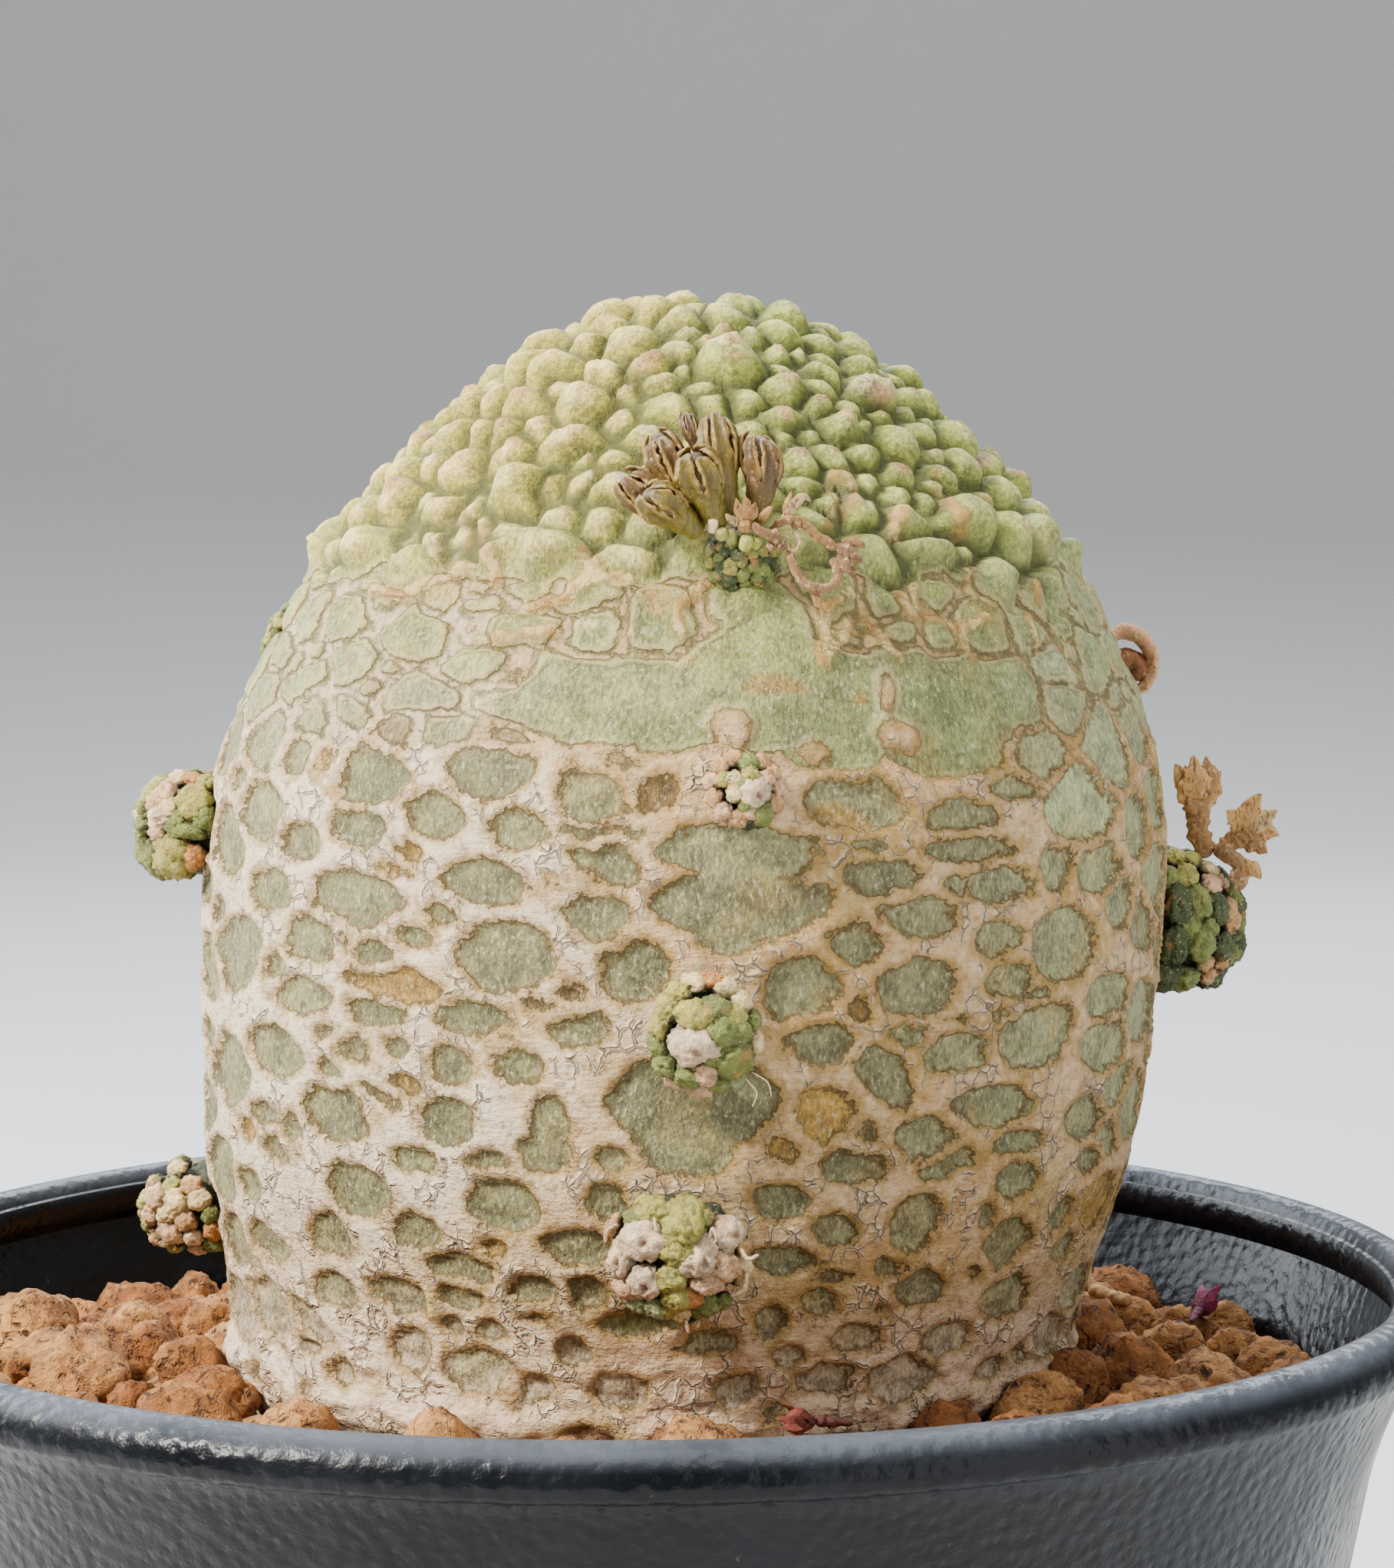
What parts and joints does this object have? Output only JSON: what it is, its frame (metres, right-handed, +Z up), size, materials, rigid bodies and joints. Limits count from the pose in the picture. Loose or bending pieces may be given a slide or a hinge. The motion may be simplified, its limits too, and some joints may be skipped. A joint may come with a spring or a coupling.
{
  "type": "potted pseudolithos",
  "caption": "Leafless warty stem succulent with knobbly flower cushions in upright rows, growing in a round plastic pot filled with baked clay grains.",
  "frame": {"origin": "the middle of the pot's foot, on the surface that it stands on", "axes": "+Z up along the pot's axis; the front row of flower cushions faces -Y, and +X is to the right of it"},
  "size_m": [0.105, 0.105, 0.1446],
  "materials": {
    "black_plastic": "moulded, fine leather grain",
    "clay_grain": "rough baked clay granules",
    "stem_skin": "warty green skin with a raised corky net",
    "cushion_green": "knobbly green flower cushion with pale scars",
    "bud_olive": "satin flower bud",
    "dried_flower": "papery dried petals",
    "dried_curl": "dried curled scar",
    "fallen_flower_dark": "dried dark red petals",
    "fallen_flower_magenta": "dried magenta petals",
    "fallen_stalk": "dry stalk"
  },
  "bodies": {
    "root": {"pot": "black_plastic", "clay_grains": "clay_grain", "stem": "stem_skin", "cushion_front_1": "cushion_green", "cushion_front_2": "cushion_green", "cushion_front_3": "cushion_green", "cushion_front_4": "cushion_green", "cushion_right_1": "dried_curl", "cushion_right_2": "cushion_green", "cushion_back_1": "cushion_green", "cushion_back_2": "cushion_green", "cushion_back_3": "cushion_green", "cushion_left_1": "cushion_green", "cushion_left_2": "cushion_green", "cushion_left_3": "cushion_green", "buds_front_1": "bud_olive", "dried_front_1": "dried_flower", "dried_right_2": "dried_flower", "fallen_flower_front": "fallen_flower_dark", "fallen_flower_right": "fallen_flower_magenta", "fallen_stub_right": "fallen_stalk"}
  },
  "joints": []
}
